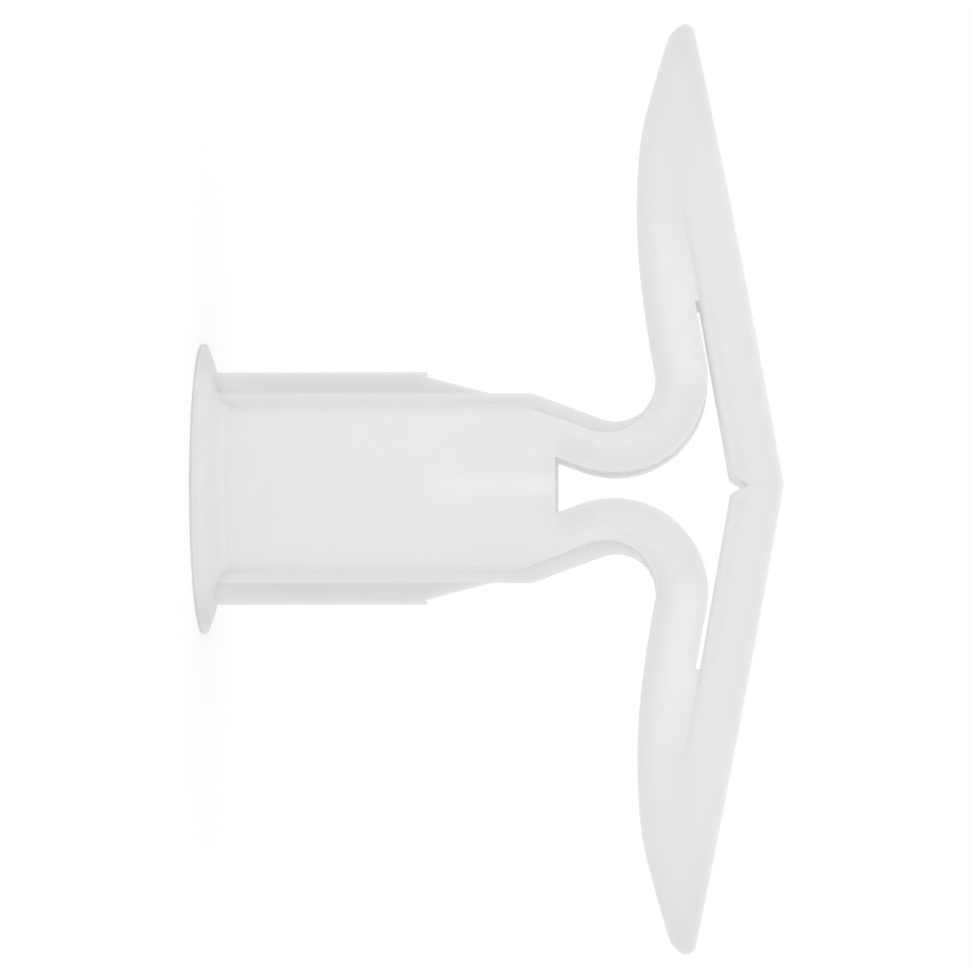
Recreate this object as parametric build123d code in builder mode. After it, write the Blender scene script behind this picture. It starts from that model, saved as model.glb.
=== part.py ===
"""Hollow wall anchor: a one-piece plastic toggle for hollow walls, shown open.

The screw axis is +Z and the origin is the centre of the collar's outer face, so
the anchor stands on its collar. The two wings spread along X, and every opening
of the toggle runs through along Y, the direction in which the mould opens.
"""
from build123d import *
from math import atan2, cos, radians, sin, tan
import os

# Collar and sleeve
COLLAR_RADIUS = 5.0
RIM_THICKNESS = 0.13
COLLAR_MID = (4.5, 0.32)
COLLAR_ROOT = (4.0, 0.46)
SLEEVE_RADIUS = 2.84
SLEEVE_FOOT_Z = 1.0
SLEEVE_FOOT_MID = (3.2, 0.62)
SLOT_END_Z = 12.22
BACK_SLOPE = 20.5

# Screw hole: a clear bore, then a narrower one that the screw bites into
BORE_RADIUS = 1.75
BORE_LEAD = 0.35
BORE_DEPTH = 9.0
BITE_RADIUS = 1.4
BITE_Z = 10.1
CHANNEL_END_Z = 17.6
APEX_HOLE_RADIUS = 1.2

# Keel rib down the back of the sleeve and legs, with a fin that grips the wall
KEEL_REACH = 3.25
KEEL_HALF = 0.6
KEEL_BEND = (3.63, 14.26)
KEEL_BEND_RADIUS = 1.367
KEEL_LEAN = 9.0
KEEL_RUN_OUT = (6.3, 15.3)
KEEL_CORE_RADIUS = 2.3
KEEL_ROOT_BEVEL = 0.12
FIN_REACH = 4.0
FIN_HALF = 0.4
FIN_FOOT_Z = 0.3
FIN_END_Z = 7.75
FIN_STEP = 0.16
FIN_RAMP_END_Z = 9.95

# Toggle, side outline: each leg turns out into a wing, and an arm comes back to the apex
SLOT_HALF = 0.96
INNER_BEND = (3.65, 14.21)
INNER_BEND_RADIUS = 3.2
INNER_LEAN = 9.0
OUTER_BEND = (3.53, 13.95)
OUTER_BEND_RADIUS = 1.7
OUTER_LEAN = 11.0
SLIT_END_X = 6.25
SLIT_LEG_Z = 16.98
SLIT_ARM_Z = 17.14
WALL_ARC_ENDS = ((6.5, 15.19), (11.4, 15.09), (13.1, 15.4))
NOTCH_CORNER = (0.33, 18.17)
NOTCH_ROOT_Z = 18.74
APEX_Z = 19.98
ARM_BULGE = (8.0, 18.5)
TIP_X = 16.0
TIP_ROUND = 0.45
TIP_LEAN = 12.0
NOSE_X = 16.1

# Toggle, depth: D-shaped legs and wings, and a rounded inner edge on the arms
HALF_DEPTH = 2.84
BACK_ROUND = 1.0
ARM_ROUND = 0.3
# How far past the slit, how wide and how deep
GROOVE_START = (-0.1, 0.28, 0.29)
GROOVE_SHALLOW = (0.5, 0.4, 0.11)
GROOVE_END = (3.9, 0.2, 0.02)
TAPER_START_X = 8.5
TAPER_X = 12.0
TAPER_ANGLE = 16.4
TIP_RUN = 3.5
BLANK_Z = 21.0
LEG_FOOT_Z = 10.6
FLARE_END = (3.07, 14.5)

# Construction: how far cutters run past what they cut, and how near an edge's middle is to match
CUT_PAST = 1.0
MATCH = 0.05


def on_circle(centre, radius, angle):
    """Point (x, z) of a circle, at an angle from +Z toward +X."""
    turn = radians(angle)
    return (centre[0] + radius * sin(turn), centre[1] + radius * cos(turn))


# Tangent points of the bends, where the legs run in and the wings run out
into_bend = -90.0 - BACK_SLOPE
mid_bend = -45.0
inner_in = on_circle(INNER_BEND, INNER_BEND_RADIUS, into_bend)
inner_mid = on_circle(INNER_BEND, INNER_BEND_RADIUS, mid_bend)
inner_out = on_circle(INNER_BEND, INNER_BEND_RADIUS, INNER_LEAN)
outer_in = on_circle(OUTER_BEND, OUTER_BEND_RADIUS, into_bend)
outer_mid = on_circle(OUTER_BEND, OUTER_BEND_RADIUS, mid_bend)
outer_out = on_circle(OUTER_BEND, OUTER_BEND_RADIUS, OUTER_LEAN)
keel_in = on_circle(KEEL_BEND, KEEL_BEND_RADIUS, into_bend)
keel_mid = on_circle(KEEL_BEND, KEEL_BEND_RADIUS, mid_bend)
keel_out = on_circle(KEEL_BEND, KEEL_BEND_RADIUS, KEEL_LEAN)
core_in = on_circle(OUTER_BEND, KEEL_CORE_RADIUS, into_bend)
core_mid = on_circle(OUTER_BEND, KEEL_CORE_RADIUS, mid_bend)
core_out = on_circle(OUTER_BEND, KEEL_CORE_RADIUS, OUTER_LEAN)

# Where the sloping backs of the legs and keel meet the sleeve
leg_rise = tan(radians(BACK_SLOPE))
leg_foot = (outer_in[0] + (outer_in[1] - LEG_FOOT_Z) * leg_rise, LEG_FOOT_Z)
shoulder_z = outer_in[1] - (SLEEVE_RADIUS - outer_in[0]) / leg_rise
keel_shoulder_z = keel_in[1] - (KEEL_REACH - keel_in[0]) / leg_rise
slope_end_z = SLOT_END_Z + CUT_PAST

# Plan taper of a wing and its round nose
taper_y = HALF_DEPTH - (TAPER_X - TAPER_START_X) * tan(radians(TAPER_ANGLE / 2))
nose_rise = sin(radians(TAPER_ANGLE))
nose_span = taper_y * cos(radians(TAPER_ANGLE)) - (NOSE_X - TAPER_X) * nose_rise
nose_radius = nose_span / (1 - nose_rise)
nose_x = NOSE_X - nose_radius
nose_side = (nose_x + nose_radius * nose_rise, nose_radius * cos(radians(TAPER_ANGLE)))

# Lean of the arm's inner side
arm_angle = atan2(NOTCH_CORNER[1] - SLIT_ARM_Z, SLIT_END_X - NOTCH_CORNER[0])


# Plan outline of one wing, which tapers to a rounded tip
with BuildPart() as wing_plan:
    with BuildSketch(Plane.XY.offset(LEG_FOOT_Z)):
        with BuildLine():
            side = Line((0, HALF_DEPTH), (TAPER_START_X, HALF_DEPTH))
            bow = TangentArc(side @ 1, (TAPER_X, taper_y), tangent=side % 1)
            Line(bow @ 1, nose_side)
            mirror(about=Plane.XZ)
            ThreePointArc(nose_side, (NOSE_X, 0), (nose_side[0], -nose_side[1]))
            Line((0, HALF_DEPTH), (0, -HALF_DEPTH))
        make_face()
    extrude(amount=BLANK_Z - LEG_FOOT_Z)

# Blank of one leg and wing: flat inside, with its back rounded over along both sides and the nose
with BuildPart() as wing_blank:
    with BuildSketch(Plane.XZ):
        with BuildLine():
            Line(leg_foot, outer_in)
            wall = ThreePointArc(outer_in, outer_mid, outer_out)
            for arc_end in WALL_ARC_ENDS:
                wall = TangentArc(wall @ 1, arc_end, tangent=wall % 1)
            blank_tip = wall @ 1 + (wall % 1) * TIP_RUN
            Polyline(
                wall @ 1,
                blank_tip,
                (blank_tip.X, BLANK_Z),
                (0, BLANK_Z),
                (0, LEG_FOOT_Z),
                leg_foot,
            )
        make_face()
    extrude(amount=HALF_DEPTH, both=True)
    add(wing_plan.part, mode=Mode.INTERSECT)
    between = edges().filter_by_position(Axis.Z, LEG_FOOT_Z, BLANK_Z, inclusive=(False, False))
    back_edges = between - edges().filter_by(Axis.Z) - edges().filter_by(Axis.Y)
    fillet(back_edges, BACK_ROUND)

# Groove cutter: it starts just inside the opening of the rounded arm edge, and fades out
with BuildPart() as groove:
    for distance, width, depth in (GROOVE_START, GROOVE_SHALLOW, GROOVE_END):
        foot = SLIT_ARM_Z - distance * tan(arm_angle)
        with BuildSketch(Plane.YZ.offset(SLIT_END_X + distance)):
            with BuildLine():
                TangentArc((HALF_DEPTH, foot + width), (HALF_DEPTH - depth, foot), tangent=(0, -1))
                Polyline(
                    (HALF_DEPTH - depth, foot),
                    (2 * HALF_DEPTH, foot),
                    (2 * HALF_DEPTH, foot + width),
                    (HALF_DEPTH, foot + width),
                )
            make_face()
    loft(ruled=True)
    mirror(about=Plane.XZ)

# Rounded tip, tangent to the wall side of the wing
wall_end = wall @ 1
wall_run = wall % 1
tip_x = TIP_X - TIP_ROUND
tip_z = wall_end.Y + ((tip_x - wall_end.X) * wall_run.Y + TIP_ROUND) / wall_run.X
tip_top = on_circle((tip_x, tip_z), TIP_ROUND, TIP_LEAN)
tip_foot = (tip_x + TIP_ROUND * wall_run.Y, tip_z - TIP_ROUND * wall_run.X)

# One side of the toggle: the blank cut to its inner outline, the slit, arm and tip
with BuildPart() as half_toggle:
    add(wing_blank.part)
    with BuildSketch(Plane.XZ):
        with BuildLine():
            Polyline((SLOT_HALF, LEG_FOOT_Z), (SLOT_HALF, SLOT_END_Z), inner_in)
            ThreePointArc(inner_in, inner_mid, inner_out)
            Polyline(
                inner_out,
                (SLIT_END_X, SLIT_LEG_Z),
                (SLIT_END_X, SLIT_ARM_Z),
                NOTCH_CORNER,
                (0, NOTCH_ROOT_Z),
                (0, APEX_Z),
            )
            ThreePointArc((0, APEX_Z), ARM_BULGE, tip_top)
            ThreePointArc(tip_top, (TIP_X, tip_z), tip_foot)
            Polyline(tip_foot, (tip_foot[0], LEG_FOOT_Z), (SLOT_HALF, LEG_FOOT_Z))
        make_face()
    extrude(amount=2 * HALF_DEPTH, both=True, mode=Mode.INTERSECT)
    # Rounded inner edges of the arm and notch
    arm_middle = ((SLIT_END_X + NOTCH_CORNER[0]) / 2, (SLIT_ARM_Z + NOTCH_CORNER[1]) / 2)
    notch_middle = (NOTCH_CORNER[0] / 2, (NOTCH_CORNER[1] + NOTCH_ROOT_Z) / 2)
    arm_edges = [
        edge
        for edge in edges()
        for middle in (arm_middle, notch_middle)
        if abs(edge.center().X - middle[0]) < MATCH
        and abs(edge.center().Z - middle[1]) < MATCH
        and abs(edge.center().Y) > HALF_DEPTH / 2
    ]
    fillet(arm_edges, ARM_ROUND)
    # The rounded edge of the arm runs on past the slit as a groove beside the leg
    add(groove.part, mode=Mode.SUBTRACT)

# Bell that lets the corners of the legs grow smoothly out of the round sleeve
flare_middle = ((SLEEVE_RADIUS + FLARE_END[0]) / 2, (SLOT_END_Z + FLARE_END[1]) / 2)
with BuildPart() as flare:
    with BuildSketch(Plane.XZ):
        with BuildLine():
            up = Line((SLEEVE_RADIUS, LEG_FOOT_Z), (SLEEVE_RADIUS, SLOT_END_Z))
            out = TangentArc(up @ 1, flare_middle, tangent=up % 1)
            TangentArc(out @ 1, FLARE_END, tangent=out % 1)
            Polyline(
                FLARE_END,
                (2 * TIP_X, FLARE_END[1]),
                (2 * TIP_X, BLANK_Z),
                (0, BLANK_Z),
                (0, LEG_FOOT_Z),
                up @ 0,
            )
        make_face()
    revolve(axis=Axis.Z)

with BuildPart() as toggle:
    add(half_toggle.part)
    add(flare.part, mode=Mode.INTERSECT)
    mirror(about=Plane.YZ)

with BuildPart() as wall_anchor:
    # Collar and sleeve, turned about the screw axis
    with BuildSketch(Plane.XZ):
        with BuildLine():
            Polyline((0, SLOT_END_Z), (0, 0), (COLLAR_RADIUS, 0), (COLLAR_RADIUS, RIM_THICKNESS))
            ThreePointArc((COLLAR_RADIUS, RIM_THICKNESS), COLLAR_MID, COLLAR_ROOT)
            ThreePointArc(COLLAR_ROOT, SLEEVE_FOOT_MID, (SLEEVE_RADIUS, SLEEVE_FOOT_Z))
            Polyline((SLEEVE_RADIUS, SLEEVE_FOOT_Z), (SLEEVE_RADIUS, SLOT_END_Z), (0, SLOT_END_Z))
        make_face()
    revolve(axis=Axis.Z)
    # Sloping backs at the end of the sleeve
    with BuildSketch(Plane.XZ):
        Polygon(
            (SLEEVE_RADIUS, shoulder_z),
            (2 * SLEEVE_RADIUS, shoulder_z),
            (2 * SLEEVE_RADIUS, slope_end_z),
            (SLEEVE_RADIUS - (slope_end_z - shoulder_z) * leg_rise, slope_end_z),
            align=None,
        )
        mirror(about=Plane.YZ)
    extrude(amount=2 * HALF_DEPTH, both=True, mode=Mode.SUBTRACT)
    # Fins, which stand on the keels and hold the sleeve still in the wall
    with BuildSketch(Plane.XZ):
        Polygon(
            (BORE_RADIUS, FIN_FOOT_Z),
            (FIN_REACH, FIN_FOOT_Z),
            (FIN_REACH, FIN_END_Z),
            (FIN_REACH - FIN_STEP, FIN_END_Z),
            (KEEL_REACH, FIN_RAMP_END_Z),
            (BORE_RADIUS, FIN_RAMP_END_Z),
            align=None,
        )
        mirror(about=Plane.YZ)
    extrude(amount=FIN_HALF, both=True)
    # Keels, from the collar down the sleeve and legs and round the bends
    with BuildSketch(Plane.XZ):
        with BuildLine():
            Polyline(
                (BORE_RADIUS, FIN_FOOT_Z),
                (KEEL_REACH, FIN_FOOT_Z),
                (KEEL_REACH, keel_shoulder_z),
                keel_in,
            )
            ThreePointArc(keel_in, keel_mid, keel_out)
            Polyline(keel_out, KEEL_RUN_OUT, core_out)
            ThreePointArc(core_out, core_mid, core_in)
            Polyline(core_in, (BORE_RADIUS, SLOT_END_Z), (BORE_RADIUS, FIN_FOOT_Z))
        make_face()
        mirror(about=Plane.YZ)
    extrude(amount=KEEL_HALF, both=True)
    # The two halves of the toggle
    add(toggle.part)
    # Clear bore, the narrower bite below it, and the channel on between the legs
    with BuildSketch(Plane.XZ):
        Polygon(
            (0, 0),
            (BORE_RADIUS + BORE_LEAD, 0),
            (BORE_RADIUS, BORE_LEAD),
            (BORE_RADIUS, BORE_DEPTH),
            (BITE_RADIUS, BITE_Z),
            (BITE_RADIUS, CHANNEL_END_Z),
            (0, CHANNEL_END_Z),
            align=None,
        )
    revolve(axis=Axis.Z, mode=Mode.SUBTRACT)
    # Pilot hole through the apex
    with BuildSketch(Plane.XY.offset(CHANNEL_END_Z)):
        Circle(APEX_HOLE_RADIUS)
    extrude(amount=BLANK_Z - CHANNEL_END_Z, mode=Mode.SUBTRACT)
    # Small bevels where the keels stand on the sleeve
    keel_root_x = (SLEEVE_RADIUS**2 - KEEL_HALF**2) ** 0.5
    keel_roots = [
        edge
        for edge in edges().filter_by(Axis.Z)
        if abs(abs(edge.center().X) - keel_root_x) < MATCH
        and abs(abs(edge.center().Y) - KEEL_HALF) < MATCH
    ]
    chamfer(keel_roots, KEEL_ROOT_BEVEL)
wall_anchor.part.label = "wall_anchor"
os.makedirs("parts", exist_ok=True)
export_step(wall_anchor.part, "parts/wall_anchor.step")
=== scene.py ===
"""Looks of the hollow wall anchor: natural, slightly translucent moulded plastic on a white stage.

The anchor is one CAD solid, which keeps its mesh and gets its finish here. Metres, in the
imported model's frame: the anchor stands on its collar, its screw axis is +Z and its wings
spread along X.
"""

import bpy
from mathutils import Matrix, Vector


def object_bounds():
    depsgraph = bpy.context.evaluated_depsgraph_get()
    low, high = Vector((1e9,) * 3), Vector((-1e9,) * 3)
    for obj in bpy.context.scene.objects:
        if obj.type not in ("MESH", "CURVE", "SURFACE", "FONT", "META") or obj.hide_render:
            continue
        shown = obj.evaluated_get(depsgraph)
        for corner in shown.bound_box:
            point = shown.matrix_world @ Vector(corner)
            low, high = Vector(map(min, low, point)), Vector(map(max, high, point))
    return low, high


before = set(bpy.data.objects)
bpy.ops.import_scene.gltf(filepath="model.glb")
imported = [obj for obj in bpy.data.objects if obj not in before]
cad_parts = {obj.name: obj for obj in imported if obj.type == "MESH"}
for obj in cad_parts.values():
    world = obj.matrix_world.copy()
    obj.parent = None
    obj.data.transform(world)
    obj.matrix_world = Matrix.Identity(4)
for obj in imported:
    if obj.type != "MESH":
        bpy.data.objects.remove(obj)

MM = 0.001
low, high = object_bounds()
middle = (low + high) / 2

# Camera: it looks at one side of the anchor, rolled a quarter turn so that the collar is on the left
CAMERA_PLACE = Vector((7.8, -180.8, 16.63)) * MM
CAMERA_AIM = Vector((-0.10, 0.0, 9.75)) * MM
FOCAL_LENGTH = 194.9
SENSOR = 36.0

# Plastic: linear colours of its thin and thick places, how thick it has to be to look milky,
# and the shares of that thickness at which it looks wholly thin and wholly thick
THIN_COLOUR = (0.755, 0.753, 0.76, 1.0)
THICK_COLOUR = (0.895, 0.893, 0.894, 1.0)
THICK = 1.0 * MM
MILKY_SPAN = (0.25, 0.95)
# Painted light: a lighter colour deep in gaps, and how near the other wall of a gap is
GAP_PAINTED_LIGHT_COLOUR = (0.94, 0.94, 0.94, 1.0)
GAP = 3.0 * MM
LIGHT_THROUGH = 0.44
SCATTER_DEPTH = 0.5 * MM
ROUGHNESS = 0.42
ROUGHNESS_CHANGE = 0.12

# Shares between thin and thick: painted light that makes the flange's middle milkier and lighter, painted
# shade along the seam of each wing, and what the thin ribs and tips lose
FLANGE_PAINTED_LIGHT = 0.5
RIB_CLEAR = 0.2
SEAM_PAINTED_SHADE = 0.17
TIP_CLEAR = 0.24

# Shares of the colour: cloudiness of the melt, painted highlights down the sleeve and along the legs, and
# painted shade on the flange's sides
CLOUDINESS = 0.012
SLEEVE_PAINTED_HIGHLIGHT = 0.06
WING_PAINTED_HIGHLIGHT = 0.05
FLANGE_SIDE_PAINTED_SHADE = 0.12

# The rest is in millimetres. Clouds of the melt, and how much longer they are along the flow
CLOUD_SIZE = 1.8
CLOUD_STRETCH = 3.0

# Where those places begin and end, x from the screw axis, y from the middle plane, z from the floor
OUTSIDE_Y = (1.6, 2.2)
WINGS_X = (2.8, 4.0)
FLANGE_RIM_Z = (0.1, 0.3)
FLANGE_ROOT_Z = (0.7, 1.4)
FLANGE_MIDDLE_X = (2.6, 4.2)
FLANGE_SIDE_X = (3.2, 4.6)
FLANGE_SIDE_Z = (0.5, 0.9)
RIB_X = (2.8, 3.0)
RIB_Y = (0.58, 0.75)
RIB_Z = (12.0, 14.0)
SEAM_Z = 16.46
SEAM_HALF = 0.75
SEAM_START_X = (8.0, 9.5)
SEAM_END_X = (11.0, 13.5)
TIP_X = (10.0, 15.0)
SLEEVE_STREAK_HALF = 0.6
SLEEVE_STREAK_START_Z = (7.8, 9.2)
SLEEVE_STREAK_END_Z = (12.0, 13.0)
# The painted highlight of a wing runs down from this height over the screw axis, with this slope
WING_STREAK_Z = 17.65
WING_STREAK_SLOPE = 0.2
WING_STREAK_HALF = 0.9
WING_STREAK_START_X = (3.0, 3.8)
WING_STREAK_END_X = (6.0, 11.0)

# Skin of the moulding: satin grain, and the parting line round the middle plane
GRAIN_SIZE = 0.05
GRAIN_HEIGHT = 0.0006
PARTING_HALF = 0.04
PARTING_HEIGHT = 0.012

# Stage: the floor in metres, and light strengths. The surround is dimmer toward one direction,
# between these two cosines of the angle to it
FLOOR_SIZE = 4.0
FLOOR_WHITE = 0.9
FLOOR_GLOW = 0.18
WORLD_LIGHT = 0.974
SHADE_LIGHT = 0.785
SHADE_TOWARD = (0.3, 0.954, 0.0)
SHADE_SPREAD = (0.0, 0.95)
WHITE = (1.0, 1.0, 1.0, 1.0)
# Lamp: place from the middle of the anchor and size in millimetres, power in watts
LAMP_PLACE = (-170, -160, 130)
LAMP_SIZE = 200
LAMP_POWER = 0.004
# Light needs many bounces to fill the narrow gaps of so white a plastic
MAX_BOUNCES = 32
WALL_BOUNCES = 24


class Nodes:
    """Node tree of a material or world, emptied, with short ways to add and join nodes."""

    def __init__(self, owner):
        owner.use_nodes = True
        self.tree = owner.node_tree
        self.tree.nodes.clear()

    def add(self, kind, *sources, **settings):
        """New node: sources go into its first inputs, settings are properties or input values."""
        node = self.tree.nodes.new(kind)
        for name, value in settings.items():
            if hasattr(node, name):
                setattr(node, name, value)
            else:
                node.inputs[name.replace("_", " ")].default_value = value
        for socket, source in zip(node.inputs, sources):
            self.feed(socket, source)
        return node

    def feed(self, socket, source):
        """Join a node's output to a socket, or set the socket to a value."""
        if isinstance(source, (int, float, tuple)):
            socket.default_value = source
        else:
            self.tree.links.new(source, socket)

    def math(self, operation, *sources):
        return self.add("ShaderNodeMath", *sources, operation=operation).outputs[0]

    def product(self, first, *others):
        for other in others:
            first = self.math("MULTIPLY", first, other)
        return first

    def total(self, first, *others):
        for other in others:
            first = self.math("ADD", first, other)
        return first

    def fade(self, value, span, first, last):
        """Soft step: first up to the start of the span, last from its end on."""
        node = self.add("ShaderNodeMapRange", value, *span, first, last, interpolation_type="SMOOTHSTEP")
        return node.outputs[0]

    def rise(self, value, span):
        return self.fade(value, span, 0.0, 1.0)

    def fall(self, value, span):
        return self.fade(value, span, 1.0, 0.0)

    def line(self, value, half):
        """Soft line: one where the value is zero, nothing from half away on."""
        return self.fall(self.math("ABSOLUTE", value), (0.0, half))

    def scaled(self, vector, scale):
        node = self.add("ShaderNodeVectorMath", vector, operation="SCALE")
        self.feed(node.inputs["Scale"], scale)
        return node.outputs[0]

    def stage_ray(self):
        """One for rays that show the stage: seen directly, mirrored or through something clear."""
        path = self.add("ShaderNodeLightPath")
        mirrored = self.math("MAXIMUM", path.outputs["Is Glossy Ray"], path.outputs["Is Transmission Ray"])
        return self.math("MAXIMUM", path.outputs["Is Camera Ray"], mirrored)


def blend(nodes, share, low_colour, high_colour):
    """Colour between two, which may be values or outputs."""
    mix = nodes.add("ShaderNodeMix", share, data_type="RGBA")
    nodes.feed(mix.inputs["A"], low_colour)
    nodes.feed(mix.inputs["B"], high_colour)
    return mix.outputs["Result"]


def milky_colour(nodes, x, y, z):
    """Colour of the plastic: milky where it is thick, clearer where it is thin, with painted light on the
    flange and painted shade along the wings' seams.
    """
    thickness = nodes.add(
        "ShaderNodeAmbientOcclusion", inside=True, only_local=True, samples=8, Distance=THICK
    )
    milky = nodes.add("ShaderNodeMapRange", thickness.outputs["AO"], *MILKY_SPAN).outputs[0]
    # Painted light: the flange is drawn milkier, so lighter, in its middle than at its sides, where the
    # ribs stand
    flange = nodes.product(
        nodes.rise(z, FLANGE_RIM_Z),
        nodes.fall(z, FLANGE_ROOT_Z),
        nodes.fall(x, FLANGE_MIDDLE_X),
        FLANGE_PAINTED_LIGHT,
    )
    rib = nodes.product(nodes.rise(x, RIB_X), nodes.fall(y, RIB_Y), nodes.fall(z, RIB_Z), RIB_CLEAR)
    # Painted shade along the crease where arm and leg of a wing join, and on toward the tip
    painted_seam_shade = nodes.product(
        nodes.line(nodes.math("SUBTRACT", z, SEAM_Z), SEAM_HALF),
        nodes.rise(x, SEAM_START_X),
        nodes.fall(x, SEAM_END_X),
        SEAM_PAINTED_SHADE,
    )
    tip = nodes.product(nodes.rise(x, TIP_X), TIP_CLEAR)
    milky = nodes.math("MAXIMUM", milky, flange)
    milky = nodes.math("SUBTRACT", milky, nodes.total(rib, painted_seam_shade, tip))
    return blend(nodes, milky, THIN_COLOUR, THICK_COLOUR)


def clouds(nodes, place, x):
    """Noise of the melt, drawn out along the sleeve and out along the wings."""
    slow = 1 / CLOUD_STRETCH
    along_sleeve = nodes.add("ShaderNodeVectorMath", place, (1.0, 1.0, slow), operation="MULTIPLY")
    along_wings = nodes.add("ShaderNodeVectorMath", place, (slow, 1.0, 1.0), operation="MULTIPLY")
    drawn = nodes.add("ShaderNodeMix", nodes.rise(x, WINGS_X), data_type="VECTOR")
    nodes.feed(drawn.inputs["A"], along_sleeve.outputs[0])
    nodes.feed(drawn.inputs["B"], along_wings.outputs[0])
    noise = nodes.add("ShaderNodeTexNoise", Scale=1 / CLOUD_SIZE, Detail=4.0)
    nodes.feed(noise.inputs["Vector"], drawn.outputs["Result"])
    return noise.outputs[0]


def cloud_and_painted_light(nodes, cloud, x, y, z):
    """Share by which the colour changes: cloudiness of the melt, painted highlights, and painted shade on
    the flange's sides.
    """
    cloudy = nodes.math("MULTIPLY_ADD", cloud, 2 * CLOUDINESS, 1 - CLOUDINESS)
    outside = nodes.rise(y, OUTSIDE_Y)
    # Painted highlight down the middle of the sleeve, from where the bore narrows
    sleeve = nodes.product(
        nodes.line(x, SLEEVE_STREAK_HALF),
        nodes.rise(z, SLEEVE_STREAK_START_Z),
        nodes.fall(z, SLEEVE_STREAK_END_Z),
        outside,
        SLEEVE_PAINTED_HIGHLIGHT,
    )
    # Painted highlight out along the middle of each leg, fading toward the tip
    streak_z = nodes.math("MULTIPLY_ADD", x, -WING_STREAK_SLOPE, WING_STREAK_Z)
    wing = nodes.product(
        nodes.line(nodes.math("SUBTRACT", z, streak_z), WING_STREAK_HALF),
        nodes.rise(x, WING_STREAK_START_X),
        nodes.fall(x, WING_STREAK_END_X),
        outside,
        WING_PAINTED_HIGHLIGHT,
    )
    # Painted shade: the flange's sides are drawn darker than its middle
    sides = nodes.product(nodes.rise(x, FLANGE_SIDE_X), nodes.fall(z, FLANGE_SIDE_Z), -FLANGE_SIDE_PAINTED_SHADE)
    return nodes.total(cloudy, sleeve, wing, sides)


def skin_normal(nodes, place, y):
    """Bump of the moulded skin: satin grain, and a fine ridge where the mould halves met."""
    grain = nodes.add("ShaderNodeTexNoise", place, Scale=1 / GRAIN_SIZE, Detail=2.0)
    ridge = nodes.product(nodes.line(y, PARTING_HALF), PARTING_HEIGHT)
    height = nodes.math("MULTIPLY_ADD", grain.outputs[0], GRAIN_HEIGHT, ridge)
    bump = nodes.add("ShaderNodeBump", Distance=MM)
    nodes.feed(bump.inputs["Height"], height)
    return bump.outputs[0]


def plastic():
    """Natural polypropylene, which lets light through to brighten its own gaps."""
    material = bpy.data.materials.new("anchor_plastic")
    nodes = Nodes(material)
    coords = nodes.add("ShaderNodeTexCoord")
    place = nodes.scaled(coords.outputs["Object"], 1 / MM)
    parts = nodes.add("ShaderNodeSeparateXYZ", place)
    x = nodes.math("ABSOLUTE", parts.outputs["X"])
    y = nodes.math("ABSOLUTE", parts.outputs["Y"])
    z = parts.outputs["Z"]

    cloud = clouds(nodes, place, x)
    tinted = nodes.scaled(milky_colour(nodes, x, y, z), cloud_and_painted_light(nodes, cloud, x, y, z))
    # Painted light: deep in gaps the colour turns lighter
    openness = nodes.add("ShaderNodeAmbientOcclusion", only_local=True, samples=8, Distance=GAP)
    shader = nodes.add(
        "ShaderNodeBsdfPrincipled",
        IOR=1.49,
        Subsurface_Weight=1.0,
        Subsurface_Radius=(1.0, 1.0, 1.0),
        Subsurface_Scale=SCATTER_DEPTH,
    )
    nodes.feed(shader.inputs["Base Color"], blend(nodes, openness.outputs["AO"], GAP_PAINTED_LIGHT_COLOUR, tinted))
    rough = nodes.math("MULTIPLY_ADD", cloud, ROUGHNESS_CHANGE, ROUGHNESS - ROUGHNESS_CHANGE / 2)
    nodes.feed(shader.inputs["Roughness"], rough)
    nodes.feed(shader.inputs["Normal"], skin_normal(nodes, place, y))

    # Shadow and bounce rays partly pass through the translucent walls
    path = nodes.add("ShaderNodeLightPath")
    inner_ray = nodes.math("MAXIMUM", path.outputs["Is Shadow Ray"], path.outputs["Is Diffuse Ray"])
    clear = nodes.add("ShaderNodeBsdfTransparent")
    share = nodes.product(inner_ray, LIGHT_THROUGH)
    mixed = nodes.add("ShaderNodeMixShader", share, shader.outputs[0], clear.outputs[0])
    nodes.add("ShaderNodeOutputMaterial", mixed.outputs[0])
    return material


def stage_white(name, white, glow_strength):
    """White stage finish: it keeps shadows, and where the stage is seen it glows a little."""
    material = bpy.data.materials.new(name)
    nodes = Nodes(material)
    matt = nodes.add("ShaderNodeBsdfDiffuse", Color=(white, white, white, 1.0))
    glow = nodes.add("ShaderNodeEmission", Strength=glow_strength)
    both = nodes.add("ShaderNodeAddShader", matt.outputs[0], glow.outputs[0])
    seen = nodes.add("ShaderNodeMixShader", nodes.stage_ray(), matt.outputs[0], both.outputs[0])
    nodes.add("ShaderNodeOutputMaterial", seen.outputs[0])
    return material


def make_floor():
    bpy.ops.mesh.primitive_plane_add(size=FLOOR_SIZE, location=(0, 0, low.z))
    floor = bpy.context.object
    floor.name = "floor"
    floor.data.materials.append(stage_white("floor_white", FLOOR_WHITE, FLOOR_GLOW))


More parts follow.
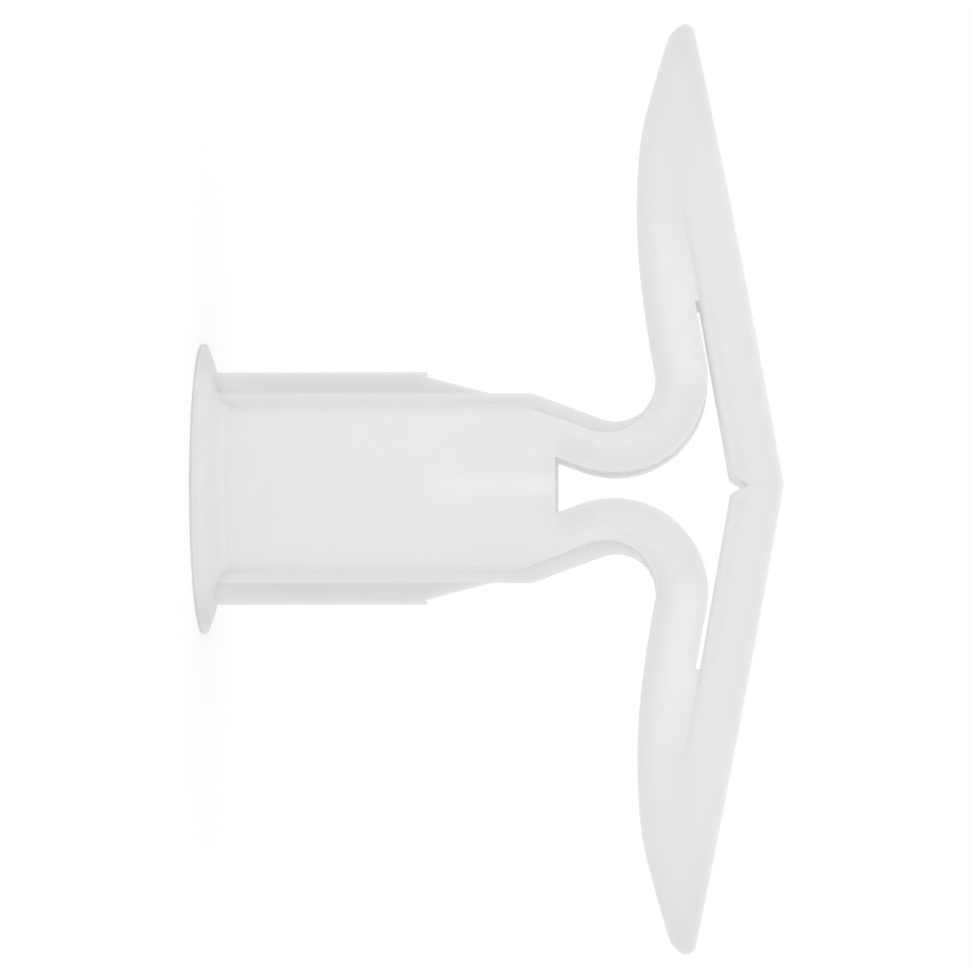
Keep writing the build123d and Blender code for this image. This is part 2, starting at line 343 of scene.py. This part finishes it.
def make_world():
    """Pale surround, a little dimmer behind the anchor, that is seen as plain white."""
    world = bpy.data.worlds.new("studio")
    bpy.context.scene.world = world
    nodes = Nodes(world)
    coords = nodes.add("ShaderNodeTexCoord")
    toward = nodes.add(
        "ShaderNodeVectorMath", coords.outputs["Generated"], SHADE_TOWARD, operation="DOT_PRODUCT"
    )
    strength = nodes.fade(toward.outputs["Value"], SHADE_SPREAD, WORLD_LIGHT, SHADE_LIGHT)
    light = nodes.add("ShaderNodeBackground", WHITE, strength)
    seen = nodes.add("ShaderNodeBackground", WHITE, 1.0)
    mix = nodes.add("ShaderNodeMixShader", nodes.stage_ray(), light.outputs[0], seen.outputs[0])
    nodes.add("ShaderNodeOutputWorld", mix.outputs[0])


def soft_lamp(name, place, size, power):
    """Square soft box that faces the middle of the anchor; place is in millimetres from there."""
    lamp = bpy.data.lights.new(name, "AREA")
    lamp.shape = "SQUARE"
    lamp.size = size * MM
    lamp.energy = power
    holder = bpy.data.objects.new(name, lamp)
    bpy.context.scene.collection.objects.link(holder)
    holder.location = middle + Vector(place) * MM
    holder.rotation_euler = (-Vector(place)).to_track_quat("-Z", "Y").to_euler()


def make_camera():
    lens = bpy.data.cameras.new("camera")
    lens.sensor_width = SENSOR
    lens.lens = FOCAL_LENGTH
    lens.clip_start = 10 * MM
    lens.clip_end = 10.0
    holder = bpy.data.objects.new("camera", lens)
    bpy.context.scene.collection.objects.link(holder)
    backward = (CAMERA_PLACE - CAMERA_AIM).normalized()
    right = Vector((-1, 0, 0)).cross(backward).normalized()
    up = backward.cross(right)
    turned = Matrix((right, up, backward)).transposed()
    holder.matrix_world = Matrix.Translation(CAMERA_PLACE) @ turned.to_4x4()
    bpy.context.scene.camera = holder


finish = plastic()
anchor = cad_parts["wall_anchor"]
for slot in anchor.material_slots:
    slot.material = finish

make_floor()
make_world()
soft_lamp("key", LAMP_PLACE, LAMP_SIZE, LAMP_POWER)
make_camera()

scene = bpy.context.scene
scene.view_settings.view_transform = "Standard"
scene.cycles.max_bounces = MAX_BOUNCES
scene.cycles.diffuse_bounces = WALL_BOUNCES
scene.cycles.glossy_bounces = WALL_BOUNCES
